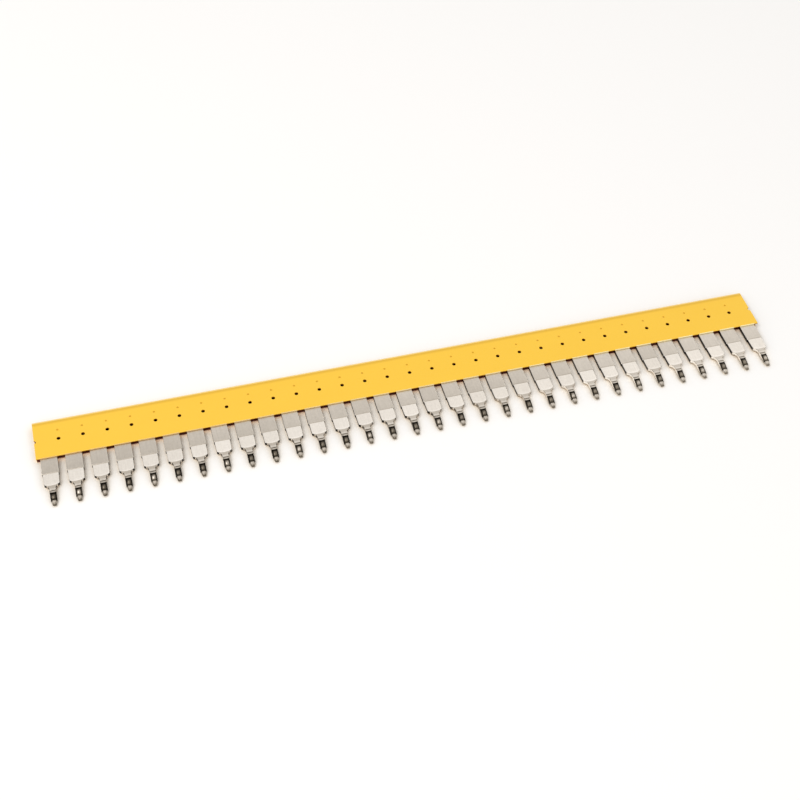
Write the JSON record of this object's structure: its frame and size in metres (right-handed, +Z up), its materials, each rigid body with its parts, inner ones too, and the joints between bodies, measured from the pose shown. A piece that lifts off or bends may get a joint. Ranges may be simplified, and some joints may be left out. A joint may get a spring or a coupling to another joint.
{
  "type": "terminal block jumper bar",
  "caption": "Long flat plug-in jumper comb for rail terminal blocks: a tinned metal comb of stepped contacts in a yellow slotted cover with cut marks.",
  "frame": {"origin": "middle of the footprint, on the surface that the bar lies on", "axes": "+X along the bar, +Y towards the closed edge of the cover, -Y towards the contact tips, +Z up through the thickness"},
  "size_m": [0.1952, 0.0266, 0.002],
  "materials": {
    "yellow_plastic": "smooth moulded yellow plastic with a slight sheen",
    "tinned_metal": "tin plated copper alloy, satin, with darker polished pockets on the pins"
  },
  "bodies": {
    "root": {"insulating_cover": "yellow_plastic", "contact_comb": "tinned_metal"}
  },
  "joints": []
}
